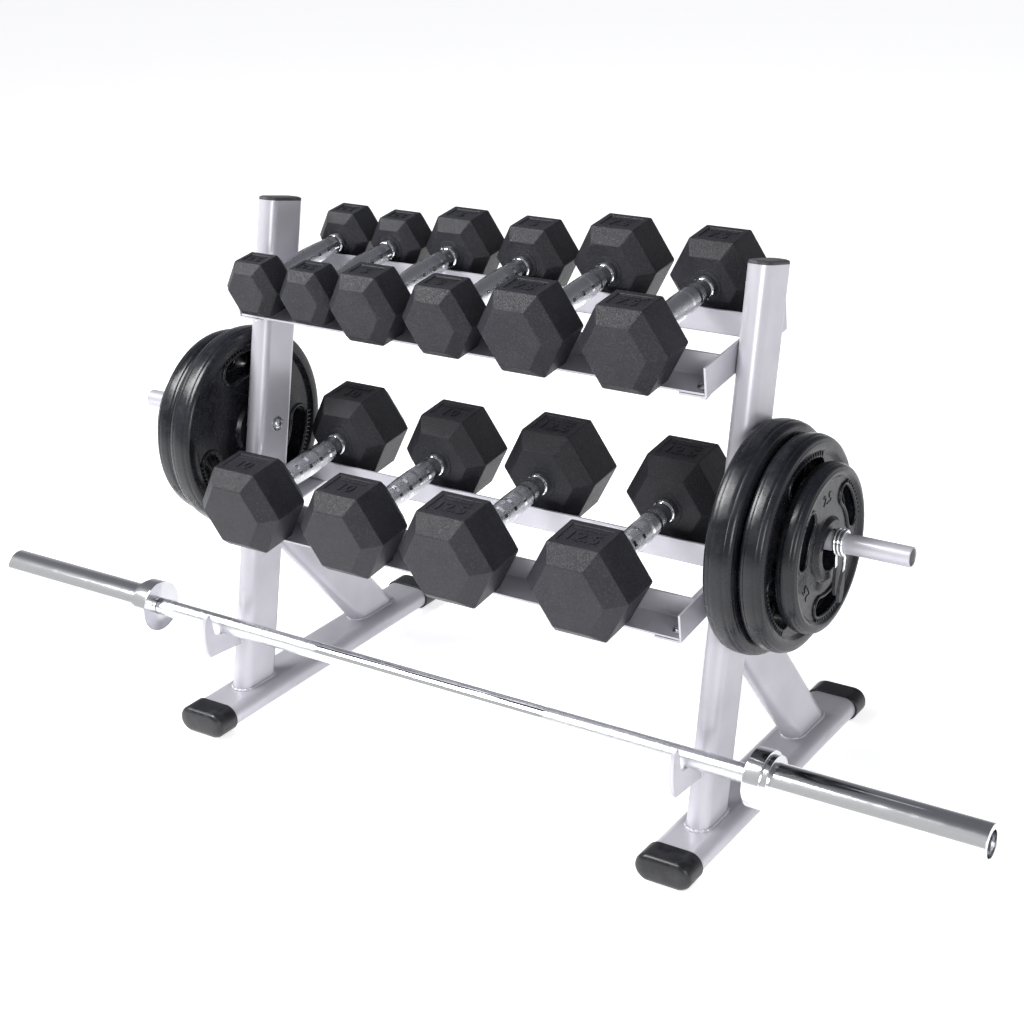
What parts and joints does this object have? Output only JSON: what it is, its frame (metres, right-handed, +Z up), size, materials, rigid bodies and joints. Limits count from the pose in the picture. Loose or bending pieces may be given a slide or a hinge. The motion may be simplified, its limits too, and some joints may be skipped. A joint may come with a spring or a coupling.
{
  "type": "dumbbell rack",
  "caption": "Free-standing two-tier steel rack carrying hex dumbbells on sloping shelves, grip plates on side horns and a barbell in front hooks.",
  "frame": {"origin": "centre of the footprint on the floor: midway along the barbell in X, midway along the feet in Y, Z = 0 on the floor", "axes": "+Z up, +X to the right along the barbell as seen from the front, the front of the rack faces -Y"},
  "size_m": [1.56, 0.545, 0.7402],
  "materials": {
    "frame_paint": "semi-gloss silver-grey powder coat",
    "cap_rubber": "satin black rubber",
    "plug_plastic": "matte dark grey",
    "zinc_steel": "bright zinc plating",
    "hex_head": "iron heads coated in pebbled charcoal rubber, chromed handle",
    "grip_plate": "iron core coated in semi-gloss black rubber",
    "spring_wire": "chromed spring wire",
    "bar_chrome": "mirror chrome, knurled grip zones"
  },
  "bodies": {
    "rack": {"foot_tube_left": "frame_paint", "foot_cap_front_left": "cap_rubber", "foot_cap_rear_left": "cap_rubber", "upright_left": "frame_paint", "upright_cap_left": "plug_plastic", "rear_brace_left": "frame_paint", "bar_hook_left": "frame_paint", "horn_left": "frame_paint", "horn_plug_left": "plug_plastic", "horn_bolt_left": "zinc_steel", "top_bracket_left": "frame_paint", "top_bolt_front_left": "zinc_steel", "top_bolt_rear_left": "zinc_steel", "low_bracket_left": "frame_paint", "low_bolt_front_left": "zinc_steel", "low_bolt_rear_left": "zinc_steel", "foot_tube_right": "frame_paint", "foot_cap_front_right": "cap_rubber", "foot_cap_rear_right": "cap_rubber", "upright_right": "frame_paint", "upright_cap_right": "plug_plastic", "rear_brace_right": "frame_paint", "bar_hook_right": "frame_paint", "horn_right": "frame_paint", "horn_plug_right": "plug_plastic", "horn_bolt_right": "zinc_steel", "top_bracket_right": "frame_paint", "top_bolt_front_right": "zinc_steel", "top_bolt_rear_right": "zinc_steel", "low_bracket_right": "frame_paint", "low_bolt_front_right": "zinc_steel", "low_bolt_rear_right": "zinc_steel", "top_front_rail": "frame_paint", "top_rear_rail": "frame_paint", "low_front_rail": "frame_paint", "low_rear_rail": "frame_paint"},
    "dumbbell_top_1": {"dumbbell_top_1": "hex_head"},
    "dumbbell_top_2": {"dumbbell_top_2": "hex_head"},
    "dumbbell_top_3": {"dumbbell_top_3": "hex_head"},
    "dumbbell_top_4": {"dumbbell_top_4": "hex_head"},
    "dumbbell_top_5": {"dumbbell_top_5": "hex_head"},
    "dumbbell_top_6": {"dumbbell_top_6": "hex_head"},
    "dumbbell_low_1": {"dumbbell_low_1": "hex_head"},
    "dumbbell_low_2": {"dumbbell_low_2": "hex_head"},
    "dumbbell_low_3": {"dumbbell_low_3": "hex_head"},
    "dumbbell_low_4": {"dumbbell_low_4": "hex_head"},
    "plate_large_left": {"plate_large_left": "grip_plate"},
    "plate_medium_left": {"plate_medium_left": "grip_plate"},
    "plate_small_left": {"plate_small_left": "grip_plate"},
    "spring_collar_left": {"spring_collar_left": "spring_wire"},
    "plate_large_right": {"plate_large_right": "grip_plate"},
    "plate_medium_right": {"plate_medium_right": "grip_plate"},
    "plate_small_right": {"plate_small_right": "grip_plate"},
    "spring_collar_right": {"spring_collar_right": "spring_wire"},
    "bar": {"bar_shaft": "bar_chrome", "sleeve_bolt_left": "zinc_steel", "sleeve_bolt_right": "zinc_steel"},
    "bar_sleeve_left": {"bar_sleeve_left": "bar_chrome"},
    "bar_sleeve_right": {"bar_sleeve_right": "bar_chrome"}
  },
  "joints": [
    {"name": "lift_dumbbell_top_1", "type": "slide", "parent": "rack", "child": "dumbbell_top_1", "axis": [0, -0.1219, 0.9925], "range_m": [0, 0.25]},
    {"name": "lift_dumbbell_top_2", "type": "slide", "parent": "rack", "child": "dumbbell_top_2", "axis": [0, -0.1219, 0.9925], "range_m": [0, 0.25]},
    {"name": "lift_dumbbell_top_3", "type": "slide", "parent": "rack", "child": "dumbbell_top_3", "axis": [0, -0.1219, 0.9925], "range_m": [0, 0.25]},
    {"name": "lift_dumbbell_top_4", "type": "slide", "parent": "rack", "child": "dumbbell_top_4", "axis": [0, -0.1219, 0.9925], "range_m": [0, 0.25]},
    {"name": "lift_dumbbell_top_5", "type": "slide", "parent": "rack", "child": "dumbbell_top_5", "axis": [0, -0.1219, 0.9925], "range_m": [0, 0.25]},
    {"name": "lift_dumbbell_top_6", "type": "slide", "parent": "rack", "child": "dumbbell_top_6", "axis": [0, -0.1219, 0.9925], "range_m": [0, 0.25]},
    {"name": "lift_dumbbell_low_1", "type": "slide", "parent": "rack", "child": "dumbbell_low_1", "axis": [0, -0.1219, 0.9925], "range_m": [0, 0.12]},
    {"name": "lift_dumbbell_low_2", "type": "slide", "parent": "rack", "child": "dumbbell_low_2", "axis": [0, -0.1219, 0.9925], "range_m": [0, 0.12]},
    {"name": "lift_dumbbell_low_3", "type": "slide", "parent": "rack", "child": "dumbbell_low_3", "axis": [0, -0.1219, 0.9925], "range_m": [0, 0.12]},
    {"name": "lift_dumbbell_low_4", "type": "slide", "parent": "rack", "child": "dumbbell_low_4", "axis": [0, -0.1219, 0.9925], "range_m": [0, 0.12]},
    {"name": "slide_plate_large_left", "type": "slide", "parent": "rack", "child": "plate_large_left", "axis": [-1, 0, 0], "range_m": [0, 0.22]},
    {"name": "slide_plate_medium_left", "type": "slide", "parent": "plate_large_left", "child": "plate_medium_left", "axis": [-1, 0, 0], "range_m": [0, 0.2]},
    {"name": "slide_plate_small_left", "type": "slide", "parent": "plate_medium_left", "child": "plate_small_left", "axis": [-1, 0, 0], "range_m": [0, 0.16]},
    {"name": "slide_spring_collar_left", "type": "slide", "parent": "plate_small_left", "child": "spring_collar_left", "axis": [-1, 0, 0], "range_m": [0, 0.13]},
    {"name": "slide_plate_large_right", "type": "slide", "parent": "rack", "child": "plate_large_right", "axis": [1, 0, 0], "range_m": [0, 0.22]},
    {"name": "slide_plate_medium_right", "type": "slide", "parent": "plate_large_right", "child": "plate_medium_right", "axis": [1, 0, 0], "range_m": [0, 0.2]},
    {"name": "slide_plate_small_right", "type": "slide", "parent": "plate_medium_right", "child": "plate_small_right", "axis": [1, 0, 0], "range_m": [0, 0.16]},
    {"name": "slide_spring_collar_right", "type": "slide", "parent": "plate_small_right", "child": "spring_collar_right", "axis": [1, 0, 0], "range_m": [0, 0.13]},
    {"name": "lift_bar", "type": "slide", "parent": "rack", "child": "bar", "axis": [0, -0.4067, 0.9135], "range_m": [0, 0.3]},
    {"name": "turn_bar_sleeve_left", "type": "hinge", "parent": "bar", "child": "bar_sleeve_left", "pos_m": [0, -0.2055, 0.1516], "axis": [1, 0, 0], "continuous": true},
    {"name": "turn_bar_sleeve_right", "type": "hinge", "parent": "bar", "child": "bar_sleeve_right", "pos_m": [0, -0.2055, 0.1516], "axis": [1, 0, 0], "continuous": true}
  ]
}
